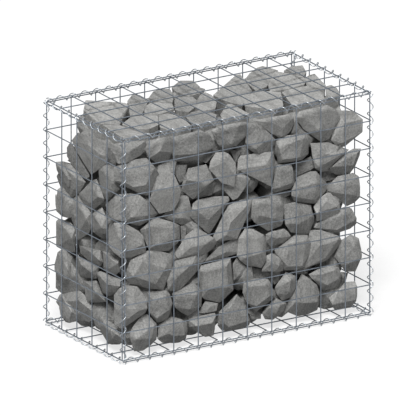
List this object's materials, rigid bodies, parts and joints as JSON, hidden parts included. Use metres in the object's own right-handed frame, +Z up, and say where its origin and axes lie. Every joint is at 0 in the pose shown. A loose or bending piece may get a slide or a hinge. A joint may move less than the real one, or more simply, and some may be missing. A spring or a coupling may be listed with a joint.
{
  "type": "gabion wall unit",
  "caption": "Stone-filled gabion wall unit: a box of welded wire mesh panels laced along every edge by wire spirals, packed with angular quarried stones.",
  "frame": {"origin": "on the ground, under the centre of the basket", "axes": "+X along the length, -Y out of the front face, +Z up"},
  "size_m": [1.0325, 0.5326, 0.8326],
  "materials": {
    "mesh_wire": "galvanised, dull with pale spangle",
    "spiral_wire": "galvanised, brighter than the mesh",
    "stone": "matt, freshly broken quarried grey stone"
  },
  "bodies": {
    "root": {"back_panel": "mesh_wire", "back_stones_lower": "stone", "back_stones_middle": "stone", "back_stones_upper": "stone", "base_panel": "mesh_wire", "core_stones": "stone", "front_panel": "mesh_wire", "front_stones_lower": "stone", "front_stones_middle": "stone", "front_stones_upper": "stone", "left_panel": "mesh_wire", "left_stones_lower": "stone", "left_stones_upper": "stone", "lid_panel": "mesh_wire", "right_panel": "mesh_wire", "right_stones_lower": "stone", "right_stones_upper": "stone", "spiral_back_left": "spiral_wire", "spiral_back_right": "spiral_wire", "spiral_base_back": "spiral_wire", "spiral_base_front": "spiral_wire", "spiral_base_left": "spiral_wire", "spiral_base_right": "spiral_wire", "spiral_front_left": "spiral_wire", "spiral_front_right": "spiral_wire", "spiral_lid_back": "spiral_wire", "spiral_lid_front": "spiral_wire", "spiral_lid_left": "spiral_wire", "spiral_lid_right": "spiral_wire", "top_stones": "stone"}
  },
  "joints": []
}
